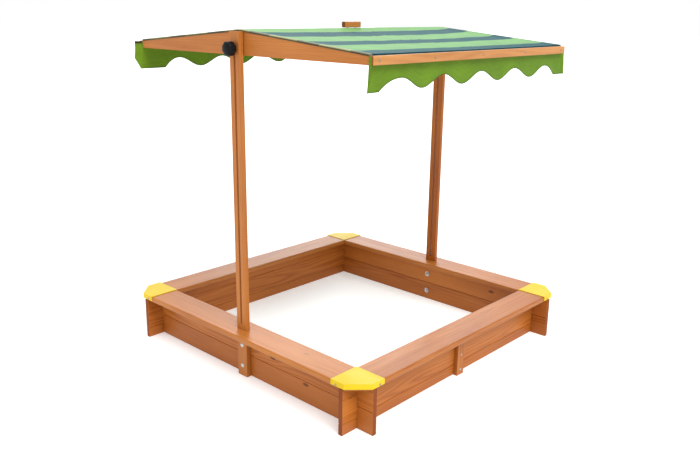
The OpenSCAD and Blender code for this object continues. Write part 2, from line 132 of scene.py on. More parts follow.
# %% Shader helpers
def put(tree, kind, sockets=None, **settings):
    """One node of that kind, with its settings made and its sockets filled or linked."""
    made = tree.nodes.new(kind)
    for name, value in settings.items():
        setattr(made, name, value)
    for name, value in (sockets or {}).items():
        if isinstance(value, bpy.types.NodeSocket):
            tree.links.new(value, made.inputs[name])
        else:
            made.inputs[name].default_value = value
    return made


def calc(tree, sum_kind, *terms):
    """The result of one Math node over one, two or three terms."""
    return put(tree, "ShaderNodeMath", dict(enumerate(terms)), operation=sum_kind).outputs[0]


def vector_calc(tree, sum_kind, *terms):
    """The vector result of one Vector Math node."""
    return put(tree, "ShaderNodeVectorMath", dict(enumerate(terms)), operation=sum_kind).outputs[0]


def blend_colour(tree, share, first, second, kind="MIX"):
    """The first colour turned into the second by a share from 0 to 1."""
    made = put(tree, "ShaderNodeMix", {0: share, 6: first, 7: second}, data_type="RGBA", blend_type=kind)
    return made.outputs[2]


def ramp(tree, value, low, high, to_low=0.0, to_high=1.0):
    """A value between two limits, stretched smoothly to two others."""
    return put(tree, "ShaderNodeMapRange", {"Value": value, "From Min": low, "From Max": high,
               "To Min": to_low, "To Max": to_high}, interpolation_type="SMOOTHSTEP").outputs[0]


def start_group(name, inputs, outputs):
    """An empty shader group with named inputs (name, type, value) and outputs (name, type)."""
    group = bpy.data.node_groups.new(name, "ShaderNodeTree")
    for socket, kind, value in inputs:
        made = group.interface.new_socket(name=socket, in_out="INPUT", socket_type="NodeSocket" + kind)
        made.default_value = value
    for socket, kind in outputs:
        group.interface.new_socket(name=socket, in_out="OUTPUT", socket_type="NodeSocket" + kind)
    return group, put(group, "NodeGroupInput").outputs, put(group, "NodeGroupOutput").inputs


def use_group(tree, group, **sockets):
    """The outputs of a group placed in a tree; spaces in socket names are written as _."""
    named = {name.replace("_", " "): value for name, value in sockets.items()}
    return put(tree, "ShaderNodeGroup", named, node_tree=group).outputs


def start_material(name, **surface):
    """A material with one Principled BSDF whose plain sockets are set here."""
    made = bpy.data.materials.new(name)
    made.use_nodes = True
    shader = made.node_tree.nodes["Principled BSDF"]
    for socket, value in surface.items():
        shader.inputs[socket.replace("_", " ")].default_value = value
    return made, made.node_tree, shader


def join(tree, shader, **links):
    """Links outputs to the shader's sockets."""
    for socket, output in links.items():
        tree.links.new(output, shader.inputs[socket.replace("_", " ")])


print("helpers ready")

# %% [markdown]
# Every edge on the real object is slightly broken: sanded timber, moulded plastic.
# The Bevel node gives the normal that a rounded edge would have. Where it differs
# from the face's own normal there is an edge, and that makes a wear mask for free.

# %% Edge group
def make_edge_group():
    """Edge mask = (1 - rounded normal . flat normal) x 3, clamped; also the rounded normal."""
    group, given, out = start_group("broken_edges", [("Radius", "Float", 0.002)],
                                    [("Edge", "Float"), ("Normal", "Vector")])
    rounded = put(group, "ShaderNodeBevel", {"Radius": given["Radius"]}, samples=4)
    flat = put(group, "ShaderNodeNewGeometry").outputs["True Normal"]
    agree = put(group, "ShaderNodeVectorMath", {0: rounded.outputs[0], 1: flat}, operation="DOT_PRODUCT")
    apart = calc(group, "SUBTRACT", 1.0, agree.outputs["Value"])
    edge = put(group, "ShaderNodeMath", {0: apart, 1: 3.0}, operation="MULTIPLY", use_clamp=True)
    group.links.new(edge.outputs[0], out["Edge"])
    group.links.new(rounded.outputs[0], out["Normal"])
    return group


EDGES = make_edge_group()
print("edge group ready")

# %% [markdown]
# Glazed softwood. A board is cut from a trunk, so its grain is a slice through
# nested tubes: the distance from the trunk's centre line gives the rings, a slow
# noise bends them, and each knot pushes them aside. Cutting the same solid pattern
# on every face makes the long lines on the faces and the arcs on the ends agree,
# which a flat printed pattern cannot do.

# %% Softwood group
def make_softwood_group():
    """Rings = a wave over sqrt(across^2 + through^2), both taken from a bent pith line."""
    group, given, out = start_group(
        "softwood",
        [("Place", "Vector", (0, 0, 0)), ("Board", "Vector", (0, 0, 0)),
         ("Ring Pitch", "Float", 0.004), ("Knot Share", "Float", 0.4)],
        [("Rings", "Float"), ("Fibres", "Float"), ("Knots", "Float"), ("Blotches", "Float"),
         ("Height", "Float")])
    place = put(group, "ShaderNodeSeparateXYZ", {0: given["Place"]}).outputs
    board = put(group, "ShaderNodeSeparateXYZ", {0: given["Board"]}).outputs
    shifted = vector_calc(group, "ADD", given["Place"], vector_calc(group, "MULTIPLY", given["Board"], (9, 5, 7)))

    def streaks(stretch, detail, rough=0.5):
        long = vector_calc(group, "MULTIPLY", shifted, stretch)
        return put(group, "ShaderNodeTexNoise", {"Vector": long, "Scale": 1.0, "Detail": detail,
                   "Roughness": rough}).outputs["Fac"]

    # knots: one per cell of a stretched grid, where the cell's own number is low enough
    cell_x = calc(group, "MULTIPLY_ADD", place[0], 3.1, calc(group, "MULTIPLY", board[0], 40.0))
    cell_y = calc(group, "MULTIPLY_ADD", place[1], 7.0, calc(group, "MULTIPLY", board[1], 40.0))
    cell = put(group, "ShaderNodeCombineXYZ", {0: cell_x, 1: cell_y}).outputs[0]
    spot = put(group, "ShaderNodeTexVoronoi", {"Vector": cell, "Scale": 1.0}, voronoi_dimensions="2D")
    number = put(group, "ShaderNodeSeparateXYZ", {0: spot.outputs["Color"]}).outputs[0]
    there = calc(group, "LESS_THAN", number, given["Knot Share"])
    near = spot.outputs["Distance"]
    knot = calc(group, "MULTIPLY", there, ramp(group, near, 0.052, 0.030))
    halo = calc(group, "MULTIPLY", there, ramp(group, near, 0.22, 0.0))

    # the pith line: beside and behind the board, bent slowly along it
    bend = put(group, "ShaderNodeTexNoise", {"Vector": vector_calc(group, "MULTIPLY", shifted, (1.6, 5.0, 5.0)),
               "Scale": 1.0, "Detail": 1.0}).outputs["Color"]
    bent = put(group, "ShaderNodeSeparateXYZ", {0: vector_calc(group, "SUBTRACT", bend, (0.5, 0.5, 0.5))}).outputs
    side = calc(group, "MULTIPLY_ADD", calc(group, "SUBTRACT", board[0], 0.5), 0.16, place[1])
    side = calc(group, "MULTIPLY_ADD", bent[0], 0.055, side)
    side = calc(group, "MULTIPLY_ADD", halo, 0.010, side)
    deep = calc(group, "ADD", place[2], calc(group, "MULTIPLY_ADD", board[1], 0.05, 0.022))
    deep = calc(group, "MULTIPLY_ADD", bent[1], 0.030, deep)
    away = calc(group, "SQRT", calc(group, "ADD", calc(group, "MULTIPLY", side, side),
                                    calc(group, "MULTIPLY", deep, deep)))
    uneven = streaks((3.0, 60.0, 60.0), 1.0)
    turns = calc(group, "MULTIPLY_ADD", uneven, 0.9, calc(group, "DIVIDE", away, given["Ring Pitch"]))
    wave = calc(group, "MULTIPLY_ADD", calc(group, "SINE", calc(group, "MULTIPLY", turns, 2 * math.pi)), 0.5, 0.5)
    rings = calc(group, "POWER", wave, 1.8)

    fine = streaks((14.0, 900.0, 900.0), 2.0)
    broad = streaks((3.0, 130.0, 130.0), 2.0)
    fibres = calc(group, "MULTIPLY_ADD", fine, 0.55, calc(group, "MULTIPLY", broad, 0.45))
    blotches = streaks((2.2, 9.0, 9.0), 2.0)
    height = calc(group, "MULTIPLY_ADD", rings, -0.35, calc(group, "MULTIPLY", fine, 0.9))
    height = calc(group, "MULTIPLY_ADD", knot, -0.5, height)
    for name, value in (("Rings", rings), ("Fibres", fibres), ("Knots", knot), ("Blotches", blotches),
                        ("Height", height)):
        group.links.new(value, out[name])
    return group


SOFTWOOD = make_softwood_group()
print("softwood group ready")

# %% [markdown]
# The same group serves every board, but each set of boards lies its own way. So a
# material reads the object's own coordinates, swaps them to (along the grain,
# across it, through the board), and picks a random number per board by rounding
# the position to steps as big as the boards. No two boards then look alike. The back
# post has darker copies of the glaze colours: painted shade, where the roof shades it.

# %% Softwood materials
GLAZE_LIGHT = (0.500, 0.185, 0.036, 1.0)
GLAZE_DARK = (0.235, 0.056, 0.006, 1.0)
SIDE_LIGHT = (0.465, 0.152, 0.024, 1.0)
SIDE_DARK = (0.215, 0.045, 0.003, 1.0)
KNOT_BROWN = (0.095, 0.024, 0.006, 1.0)
# painted shade: darker glaze colours for the back post, which the roof shades
BACK_POST_SHADED_LIGHT = (0.480, 0.145, 0.012, 1.0)
BACK_POST_SHADED_DARK = (0.230, 0.046, 0.002, 1.0)
EAVE_LIGHT = (0.570, 0.265, 0.085, 1.0)
EAVE_DARK = (0.330, 0.125, 0.030, 1.0)
# end-grain darkening: partly the glaze the ends take up, partly painted shade
END_GLAZE_AND_SHADE_TINT = (0.72, 0.58, 0.45, 1.0)
END_GLAZE_AND_SHADE_SHARE = 0.82
WORN_SHARE = 0.30


def softwood(name, order, middles, mirrored, steps, start=(0.5, 0.5, 0.5), light=GLAZE_LIGHT,
             dark=GLAZE_DARK, pitch=0.0046, knots=0.34, knot_depth=0.85, ringed=0.36, gloss=0.42):
    """Glazed softwood for boards whose grain, width and thickness lie along the axes in order."""
    made, tree, shader = start_material(name, Specular_IOR_Level=0.24)
    coords = put(tree, "ShaderNodeTexCoord")
    here = coords.outputs["Object"]
    axes = dict(zip("XYZ", put(tree, "ShaderNodeSeparateXYZ", {0: here}).outputs))
    axes[mirrored] = calc(tree, "ABSOLUTE", axes[mirrored])
    local = [calc(tree, "SUBTRACT", axes[letter], middle) for letter, middle in zip(order, middles)]
    place = put(tree, "ShaderNodeCombineXYZ", dict(enumerate(local))).outputs[0]
    step = vector_calc(tree, "FLOOR", vector_calc(tree, "MULTIPLY_ADD", here, steps, start))
    board = put(tree, "ShaderNodeTexWhiteNoise", {"Vector": step}, noise_dimensions="3D").outputs["Color"]
    grain = use_group(tree, SOFTWOOD, Place=place, Board=board, Ring_Pitch=pitch, Knot_Share=knots)
    edge = use_group(tree, EDGES, Radius=0.0022)

    share = calc(tree, "MULTIPLY_ADD", grain["Rings"], ringed, calc(tree, "MULTIPLY", grain["Fibres"], 0.97 - ringed))
    share = calc(tree, "MULTIPLY_ADD", calc(tree, "SUBTRACT", grain["Blotches"], 0.5), 0.9, share)
    tone = put(tree, "ShaderNodeSeparateXYZ", {0: board}).outputs[2]
    share = calc(tree, "MULTIPLY_ADD", calc(tree, "SUBTRACT", tone, 0.5), 0.24, share)
    share = put(tree, "ShaderNodeClamp", {0: share}).outputs[0]
    colour = blend_colour(tree, share, light, dark)
    colour = blend_colour(tree, calc(tree, "MULTIPLY", grain["Knots"], knot_depth), colour, KNOT_BROWN)

    # the cut ends drink more glaze and are darker; the darkening is deepened as painted shade, for the ends shaded at
    # the box's corners
    facing = put(tree, "ShaderNodeSeparateXYZ", {0: coords.outputs["Normal"]}).outputs["XYZ".index(order[0])]
    end = ramp(tree, calc(tree, "ABSOLUTE", facing), 0.75, 0.9)
    soaked_and_shaded = tuple(channel * kept for channel, kept in zip(dark, END_GLAZE_AND_SHADE_TINT))
    colour = blend_colour(tree, calc(tree, "MULTIPLY", end, END_GLAZE_AND_SHADE_SHARE), colour, soaked_and_shaded)
    colour = blend_colour(tree, calc(tree, "MULTIPLY", edge["Edge"], WORN_SHARE), colour, light)

    rough = calc(tree, "MULTIPLY_ADD", grain["Fibres"], 0.25, gloss - 0.12)
    rough = calc(tree, "MULTIPLY_ADD", end, 0.2, rough)
    bump = put(tree, "ShaderNodeBump", {"Height": grain["Height"], "Normal": edge["Normal"],
               "Strength": 0.35, "Distance": 0.0006}).outputs[0]
    join(tree, shader, Base_Color=colour, Roughness=rough, Normal=bump)
    return made


def finish_nodes(material, *names):
    """Puts one material on every polygon of the named CAD nodes."""
    for name in names:
        mesh = NODES[name].data
        mesh.materials.clear()
        mesh.materials.append(material)
    print(material.name, "on", ", ".join(names))


finish_nodes(softwood("side_wood_x", "XZY", (0.0, 0.077, 0.517), "Y", (0, 1, 12.987), (0.5, 0, 0.001),
                      light=SIDE_LIGHT, dark=SIDE_DARK),
             "front_board_lower", "front_board_upper", "back_board_lower", "back_board_upper")
finish_nodes(softwood("side_wood_y", "YZX", (0.0, 0.077, 0.517), "X", (1, 0, 12.987), (0, 0.5, 0.501),
                      light=SIDE_LIGHT, dark=SIDE_DARK),
             "left_board_bottom", "left_board_middle", "left_board_top",
             "right_board_bottom", "right_board_middle", "right_board_top")
finish_nodes(softwood("seat_wood_x", "XYZ", (0.0, 0.5335, 0.164), "Y", (0, 1, 0), (0.5, 0, 0.5), knots=0.5,
                      knot_depth=0.3, ringed=0.2, gloss=0.38),
             "seat_front", "seat_back")
finish_nodes(softwood("seat_wood_y", "YXZ", (0.0, 0.5335, 0.164), "X", (1, 0, 0), (0, 0.5, 0.5), knots=0.5,
                      knot_depth=0.3, ringed=0.2, gloss=0.38),
             "seat_left", "seat_right")
finish_nodes(softwood("cleat_wood", "ZYX", (0.0, 0.0, 0.533), "X", (1, 0, 0), (0, 0.5, 0.5)),
             "cleat_left", "cleat_right")
finish_nodes(softwood("post_wood_pale", "ZXY", (0.0, 0.0, 0.534), "Y", (0, 1, 0), (0.5, 0, 0.5), knots=0.15,
                      ringed=0.2),
             "post_front")
# the back post's darker glaze is painted shade
finish_nodes(softwood("post_wood_painted_shade", "ZXY", (0.0, 0.0, 0.534), "Y", (0, 1, 0), (0.5, 0, 0.5), knots=0.15,
                      ringed=0.2, light=BACK_POST_SHADED_LIGHT, dark=BACK_POST_SHADED_DARK),
             "post_back")
finish_nodes(softwood("gable_wood", "XZY", (0.0, 1.13, 0.515), "Y", (0, 1, 0), (0.5, 0, 0.5), knots=0.25,
                      ringed=0.15),
             "gable_front", "gable_back")
finish_nodes(softwood("eave_wood", "YZX", (0.0, 1.11, 0.54), "X", (1.8365, 0, 0), (0, 0.5, 0.5),
                      light=EAVE_LIGHT, dark=EAVE_DARK, knots=0.2, ringed=0.2),
             "eave_rail_left", "eave_rail_right", "eave_batten_left", "eave_batten_right")
finish_nodes(softwood("ridge_wood", "YZX", (0.0, 1.16, 0.0), "X", (0, 0, 0.8496), (0.5, 0.5, 0.0), knots=0.1),
             "ridge_beam", "ridge_block")

# %% [markdown]
# The screws and bolts are zinc plated: a grey metal whose brightness and roughness
# wander a little. The bushes inside the knobs are turned brass, with fine rings.

# %% Metals
def plated(name, colour, low, high, turned=0.0):
    """A metal whose roughness runs from low to high with a noise, with turned rings if asked."""
    made, tree, shader = start_material(name, Metallic=1.0)
    here = put(tree, "ShaderNodeTexCoord").outputs["Object"]
    cloud = put(tree, "ShaderNodeTexNoise", {"Vector": here, "Scale": 320.0, "Detail": 3.0}).outputs["Fac"]
    edge = use_group(tree, EDGES, Radius=0.0005)
    dull = tuple(v * 0.62 for v in colour[:3]) + (1.0,)
    shade = blend_colour(tree, calc(tree, "MULTIPLY", cloud, 0.7), colour, dull)
    shade = blend_colour(tree, calc(tree, "MULTIPLY", edge["Edge"], 0.5), shade, colour)
    rings = put(tree, "ShaderNodeTexWave", {"Vector": here, "Scale": 500.0, "Distortion": 0.4},
                wave_type="BANDS", bands_direction="Y").outputs["Fac"]
    relief = calc(tree, "MULTIPLY_ADD", rings, turned, calc(tree, "MULTIPLY", cloud, 0.25))
    bump = put(tree, "ShaderNodeBump", {"Height": relief, "Normal": edge["Normal"], "Strength": 0.2,
               "Distance": 0.0002}).outputs[0]
    join(tree, shader, Base_Color=shade, Roughness=ramp(tree, cloud, 0.3, 0.7, low, high), Normal=bump)
    return made


finish_nodes(plated("zinc_plate", (0.60, 0.60, 0.61, 1.0), 0.24, 0.42), "post_bolts", "post_washers",
             "post_dome_nuts", "seat_screws", "cleat_screws", "pivot_bolts", "pivot_inner_washers",
             "pivot_outer_washers", "gable_screws", "block_screws")
finish_nodes(plated("dark_zinc", (0.42, 0.32, 0.22, 1.0), 0.4, 0.55), "cap_screws", "batten_screws")
finish_nodes(plated("turned_brass", (0.66, 0.47, 0.19, 1.0), 0.2, 0.34, 1.0), "knob_bush_front", "knob_bush_back")

# %% [markdown]
# Moulded plastic has a fine even texture from the mould, a soft gloss, and a slightly
# different gloss where hands have polished its edges. One group makes the texture
# for the yellow caps and for the black knobs.

# %% Moulded plastic
def make_mould_group():
    """Texture = fine noise plus a slow one; it gives a relief and a small change of gloss."""
    group, given, out = start_group("moulded", [("Grain Size", "Float", 900.0)],
                                    [("Relief", "Float"), ("Gloss", "Float"), ("Tone", "Float")])
    here = put(group, "ShaderNodeTexCoord").outputs["Object"]
    fine = put(group, "ShaderNodeTexNoise", {"Vector": here, "Scale": given["Grain Size"], "Detail": 2.0})
    slow = put(group, "ShaderNodeTexNoise", {"Vector": here, "Scale": 14.0, "Detail": 3.0})
    group.links.new(fine.outputs["Fac"], out["Relief"])
    group.links.new(ramp(group, slow.outputs["Fac"], 0.3, 0.7, -0.06, 0.06), out["Gloss"])
    group.links.new(ramp(group, slow.outputs["Fac"], 0.35, 0.65), out["Tone"])
    return group


MOULDED = make_mould_group()


def plastic(name, colour, shade, rough, grain, relief, shine):
    """Moulded plastic between a colour and its shade."""
    made, tree, shader = start_material(name, Specular_IOR_Level=shine)
    skin = use_group(tree, MOULDED, Grain_Size=grain)
    edge = use_group(tree, EDGES, Radius=0.001)
    tint = blend_colour(tree, calc(tree, "MULTIPLY", skin["Tone"], 0.5), colour, shade)
    tint = blend_colour(tree, calc(tree, "MULTIPLY", edge["Edge"], 0.35), tint, colour)
    dull = calc(tree, "ADD", skin["Gloss"], rough)
    dull = calc(tree, "MULTIPLY_ADD", edge["Edge"], -0.1, dull)
    bump = put(tree, "ShaderNodeBump", {"Height": skin["Relief"], "Normal": edge["Normal"],
               "Strength": relief, "Distance": 0.0003}).outputs[0]
    join(tree, shader, Base_Color=tint, Roughness=dull, Normal=bump)
    return made


CAP_YELLOW = plastic("cap_yellow", (0.650, 0.460, 0.012, 1.0), (0.600, 0.415, 0.008, 1.0),
                     rough=0.42, grain=1100.0, relief=0.2, shine=0.14)
KNOB_BLACK = plastic("knob_black", (0.006, 0.006, 0.007, 1.0), (0.003, 0.003, 0.004, 1.0),
                     rough=0.34, grain=1400.0, relief=0.3, shine=0.10)
print("plastics ready")

# %% [markdown]
# A cap's shape is right in the frame, but its edges are as sharp as a drawing's. A
# copy of the mesh is merged, cleaned and given a Bevel modifier, which rounds
# moulded edges evenly. Rounding by hand would need every corner worked out.

# %% Corner caps
CAP_EDGE_R = 0.0011


def rounded_copy(node, name, body, material, radius):
    """A merged copy of a CAD node with rounded edges, standing for that node."""
    source = NODES[node].data
    points = np.zeros(len(source.vertices) * 3)
    source.vertices.foreach_get("co", points)
    points = np.round(points.reshape(-1, 3), 6)
    corners = np.zeros(len(source.polygons) * 3, int)
    source.polygons.foreach_get("vertices", corners)
    merged, index = np.unique(points, axis=0, return_inverse=True)
    faces = index.reshape(-1)[corners].reshape(-1, 3)
    faces = faces[(faces[:, 0] != faces[:, 1]) & (faces[:, 1] != faces[:, 2]) & (faces[:, 0] != faces[:, 2])]
    mesh = bpy.data.meshes.new(name)
    mesh.from_pydata(merged.tolist(), [], faces.tolist())
    mesh.materials.append(material)
    piece = bpy.data.objects.new(name, mesh)
    bpy.context.scene.collection.objects.link(piece)
    soften = piece.modifiers.new("flat_faces", "DECIMATE")
    soften.decimate_type, soften.angle_limit = "DISSOLVE", math.radians(2)
    edges = piece.modifiers.new("rounded_edges", "BEVEL")
    edges.width, edges.segments, edges.limit_method = radius, 3, "ANGLE"
    edges.angle_limit = math.radians(35)
    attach(piece, body)
    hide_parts(node)
    print(name, len(merged), "points")
    return piece


for corner in ("front_left", "front_right", "back_left", "back_right"):
    rounded_copy("cap_" + corner, "corner_cap_" + corner, "base", CAP_YELLOW, CAP_EDGE_R)

# %% [markdown]
# Numpy grids make the remaining surfaces. This helper turns a grid of points into
# quads, closes it round where asked, and adds a UV map in metres for cloth.

# %% Surface helper
def surface(name, grid, material, round_u=False, uv=None, ends=False):
    """Quads over a grid[u, v] of points; round_u joins the last row to the first."""
    nu, nv = grid.shape[:2]
    u = np.arange(nu if round_u else nu - 1)
    v = np.arange(nv - 1)
    a = (u[:, None] * nv + v[None, :]).ravel()
    b = (((u + 1) % nu)[:, None] * nv + v[None, :]).ravel()
    faces = np.stack([a, b, b + 1, a + 1], axis=1)
    mesh = bpy.data.meshes.new(name)
    points, polygons = grid.reshape(-1, 3), faces.tolist()
    if ends:
        polygons += [[int(i * nv) for i in range(nu)][::-1], [int(i * nv + nv - 1) for i in range(nu)]]
    mesh.from_pydata(points.tolist(), [], polygons)
    if uv is not None:
        layer = mesh.uv_layers.new(name="cut")
        layer.data.foreach_set("uv", uv.reshape(-1, 2)[faces.ravel()].ravel())
    mesh.polygons.foreach_set("use_smooth", [True] * len(mesh.polygons))
    mesh.materials.append(material)
    piece = bpy.data.objects.new(name, mesh)
    bpy.context.scene.collection.objects.link(piece)
    return piece


def smooth_step(t):
    """0 below 0, 1 above 1, and a smooth S between."""
    t = np.clip(t, 0.0, 1.0)
    return t * t * (3.0 - 2.0 * t)


print("surface helper ready")

# %% [markdown]
# Each knob is a moulded grip with shallow finger grooves on a short round hub. Its
# side is a profile turned about the bolt, and the grooves are a wave on the radius
# that fades out towards the hub and the face. A plain turned shape would have no
# grip, and cut grooves would leave hard edges.

# %% Knobs
PIVOT_Z = (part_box("pivot_bolts")[0].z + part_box("pivot_bolts")[1].z) / 2
KNOB_LENGTH = 0.0340
GROOVES = 8
GROOVE_DEPTH = 0.105


def knob_side(node, name, body, side):
    """Radius = profile(height) x (1 - depth x groove wave(angle)), turned about the bolt.

    The profile starts at the bottom of the bush's bore, so the turned shape is closed.
    """
    low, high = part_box(node)
    start = -high.y if side < 0 else low.y
    length = high.y - low.y
    profile = np.array([[0.0001, 0.0132], [0.0064, 0.0132], [0.0066, 0.0130], [0.0066, 0.0003],
                        [0.0070, 0.0000], [0.0100, 0.0000], [0.0120, 0.0004], [0.0124, 0.0012],
                        [0.0124, 0.0024], [0.0130, 0.0030], [0.0165, 0.0032], [0.0195, 0.0041],
                        [0.0220, 0.0064], [0.0230, 0.0098], [0.0230, 0.0230], [0.0227, 0.0256],
                        [0.0216, 0.0282], [0.0194, 0.0302], [0.0166, 0.0309], [0.0160, 0.0311],
                        [0.0125, 0.0326], [0.0070, 0.0337], [0.0001, KNOB_LENGTH]])
    steps = np.linspace(0, len(profile) - 1, 89)
    r = np.interp(steps, np.arange(len(profile)), profile[:, 0])[None, :]
    h = np.interp(steps, np.arange(len(profile)), profile[:, 1])[None, :] * (length / KNOB_LENGTH)
    angle = np.linspace(0, 2 * np.pi, 192, endpoint=False)[:, None]
    wave = (0.5 + 0.5 * np.cos(GROOVES * angle)) ** 2
    depth = GROOVE_DEPTH * smooth_step((r - 0.0150) / 0.006)
    r = r * (1 - depth * wave)
    y = side * (start + h) + 0 * angle
    grid = np.stack([r * np.cos(angle), y, PIVOT_Z + r * np.sin(angle)], axis=-1)
    if side > 0:
        grid = grid[::-1]
    piece = surface(name, grid, KNOB_BLACK, round_u=True, ends=True)
    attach(piece, body)
    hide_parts(node)
    print(name, "radius", round(float(r.max()), 4), "length", round(length, 4))
    return piece


knob_side("knob_front", "grip_front", "knob_front", -1)
knob_side("knob_back", "grip_back", "knob_back", 1)

# %% [markdown]
# The cloth is a plain weave: two sets of threads that pass over and under each
# other. Two crossed waves in the cloth's own UV map, in metres, make it, and their
# product says which thread lies on top. The group gives a relief and a tone.

# %% Weave group
def make_weave_group():
    """Over-under pattern = sin(u) x sin(v); threads stand highest at their middles."""
    group, given, out = start_group("plain_weave", [("Threads", "Float", 900.0)],
                                    [("Relief", "Float"), ("Tone", "Float"), ("Crumple", "Float")])
    flat = put(group, "ShaderNodeUVMap", uv_map="cut").outputs[0]
    axes = put(group, "ShaderNodeSeparateXYZ", {0: flat}).outputs
    rate = calc(group, "MULTIPLY", given["Threads"], math.pi)
    warp = calc(group, "SINE", calc(group, "MULTIPLY", axes[0], rate))
    weft = calc(group, "SINE", calc(group, "MULTIPLY", axes[1], rate))
    cross = calc(group, "MULTIPLY_ADD", calc(group, "MULTIPLY", warp, weft), 0.5, 0.5)
    slub = put(group, "ShaderNodeTexNoise", {"Vector": vector_calc(group, "MULTIPLY", flat, (12.0, 420.0, 1.0)),
               "Scale": 1.0, "Detail": 2.0}).outputs["Fac"]
    cloud = put(group, "ShaderNodeTexNoise", {"Vector": flat, "Scale": 9.0, "Detail": 3.0}).outputs["Fac"]
    crumple = put(group, "ShaderNodeTexNoise", {"Vector": flat, "Scale": 26.0, "Detail": 2.0,
                  "Distortion": 0.6}).outputs["Fac"]
    group.links.new(cross, out["Relief"])
    tone = calc(group, "MULTIPLY_ADD", slub, 0.5, calc(group, "MULTIPLY", cloud, 0.5))
    group.links.new(tone, out["Tone"])
    group.links.new(crumple, out["Crumple"])
    return group


WEAVE = make_weave_group()
print("weave group ready")

# %% [markdown]
# The roof cloth is printed with broad stripes that run from gable to gable, light
# green and dark teal by turns. The stripe is a square wave over the distance from
# the ridge, read from the object's own X. Along the gables the cloth's edge takes
# other colours, read from the cloth's own UV map: a painted highlight where it lies
# over the front gable's top, brown over the back gable's top, and painted shade
# where it is turned down. The valances are a plain leaf green with a stitched hem;
# the left one's front fold has a tip of painted shade.

# %% Cloth materials
BEND = 0.0018            # radius of the cloth's turn over a gable
BEND_OUT = 0.0008        # how far that turn stands out from the gable
STRIPE = 0.212           # width of a light stripe and a dark one together
STRIPE_START = -0.068
LIGHT_SHARE = 0.57
THREADS = 650.0
STITCHES = 280.0
LIGHT_GREEN = (0.200, 0.385, 0.110, 1.0)
DEEP_TEAL = (0.001, 0.034, 0.047, 1.0)
LEAF_GREEN = (0.125, 0.228, 0.012, 1.0)
HEM_GREEN = (0.065, 0.135, 0.010, 1.0)
SHEEN_TINT = (0.05, 0.94, 1.00, 1.0)
# painted highlight: the cloth's turn over the front gable's top, pale as if lit
GABLE_PAINTED_HIGHLIGHT = (0.480, 0.400, 0.220, 1.0)
BACK_BROWN = (0.160, 0.095, 0.045, 1.0)
# painted shade: the cloth turned down over the gables, and the tip of the left valance's front fold
FOLD_PAINTED_SHADE = (0.045, 0.026, 0.010, 1.0)


def cloth(name, pick_colour, sheen):
    """Woven cloth whose colour comes from pick_colour(tree), with weave, slubs and crumples."""
    made, tree, shader = start_material(name, Sheen_Weight=sheen, Sheen_Roughness=0.45, Sheen_Tint=SHEEN_TINT,
                                        Specular_IOR_Level=0.08)
    weave = use_group(tree, WEAVE, Threads=THREADS)
    colour = pick_colour(tree)
    darker = blend_colour(tree, 1.0, colour, (0.62, 0.62, 0.62, 1.0), "MULTIPLY")
    colour = blend_colour(tree, ramp(tree, weave["Tone"], 0.25, 0.8), darker, colour)
    rough = calc(tree, "MULTIPLY_ADD", weave["Tone"], 0.25, 0.50)
    relief = calc(tree, "MULTIPLY_ADD", weave["Crumple"], 1.6, calc(tree, "MULTIPLY", weave["Relief"], 0.22))
    bump = put(tree, "ShaderNodeBump", {"Height": relief, "Strength": 0.4, "Distance": 0.0012}).outputs[0]
    join(tree, shader, Base_Color=colour, Roughness=rough, Normal=bump)
    return made


def stripes(tree):
    """Light where the distance from a stripe's edge, over a stripe pair, is under the light share."""
    here = put(tree, "ShaderNodeTexCoord").outputs["Object"]
    across, along = put(tree, "ShaderNodeSeparateXYZ", {0: here}).outputs[:2]
    pair = calc(tree, "DIVIDE", calc(tree, "SUBTRACT", across, STRIPE_START), STRIPE)
    dark = calc(tree, "GREATER_THAN", calc(tree, "FRACT", pair), LIGHT_SHARE)
    colour = blend_colour(tree, dark, LIGHT_GREEN, DEEP_TEAL)
    # pulled tight over the gables' top edges, with a painted highlight in front and brown behind, and painted shade
    # where turned down
    run = put(tree, "ShaderNodeSeparateXYZ", {0: put(tree, "ShaderNodeUVMap", uv_map="cut").outputs[0]}).outputs[1]
    past = calc(tree, "SUBTRACT", calc(tree, "ABSOLUTE", run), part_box("gable_back")[1].y - BEND + BEND_OUT)
    edge = blend_colour(tree, calc(tree, "LESS_THAN", along, 0.0), BACK_BROWN, GABLE_PAINTED_HIGHLIGHT)
    share = calc(tree, "MULTIPLY", ramp(tree, past, -0.014, -0.010), calc(tree, "MULTIPLY_ADD", dark, -0.30, 0.75))
    colour = blend_colour(tree, share, colour, edge)
    return blend_colour(tree, calc(tree, "MULTIPLY", ramp(tree, past, 0.0026, 0.0036), 0.85), colour, FOLD_PAINTED_SHADE)


def leaf_green(tree):
    """Plain green, with a darker hem, a stitched row above it and painted shade on the tip of the left front fold."""
    from_edge = put(tree, "ShaderNodeSeparateXYZ", {0: put(tree, "ShaderNodeUVMap", uv_map="cut").outputs[0]}).outputs
    hem = ramp(tree, from_edge[1], 0.0032, 0.0024)
    row = ramp(tree, calc(tree, "ABSOLUTE", calc(tree, "SUBTRACT", from_edge[1], 0.0055)), 0.0012, 0.0004)
    dash = calc(tree, "GREATER_THAN", calc(tree, "FRACT", calc(tree, "MULTIPLY", from_edge[0], STITCHES)), 0.38)
    darker = calc(tree, "MAXIMUM", hem, calc(tree, "MULTIPLY", row, calc(tree, "MULTIPLY", dash, 0.5)))
    colour = blend_colour(tree, darker, LEAF_GREEN, HEM_GREEN)
    here = put(tree, "ShaderNodeSeparateXYZ", {0: put(tree, "ShaderNodeTexCoord").outputs["Object"]}).outputs
    left = calc(tree, "LESS_THAN", here[0], 0.0)
    # painted shade on the upper tip of the left valance's front fold
    fold_tip_shade = calc(tree, "MULTIPLY", ramp(tree, from_edge[0], -0.524, -0.527), ramp(tree, from_edge[1], 0.087, 0.090))
    return blend_colour(tree, calc(tree, "MULTIPLY", left, fold_tip_shade), colour, FOLD_PAINTED_SHADE)


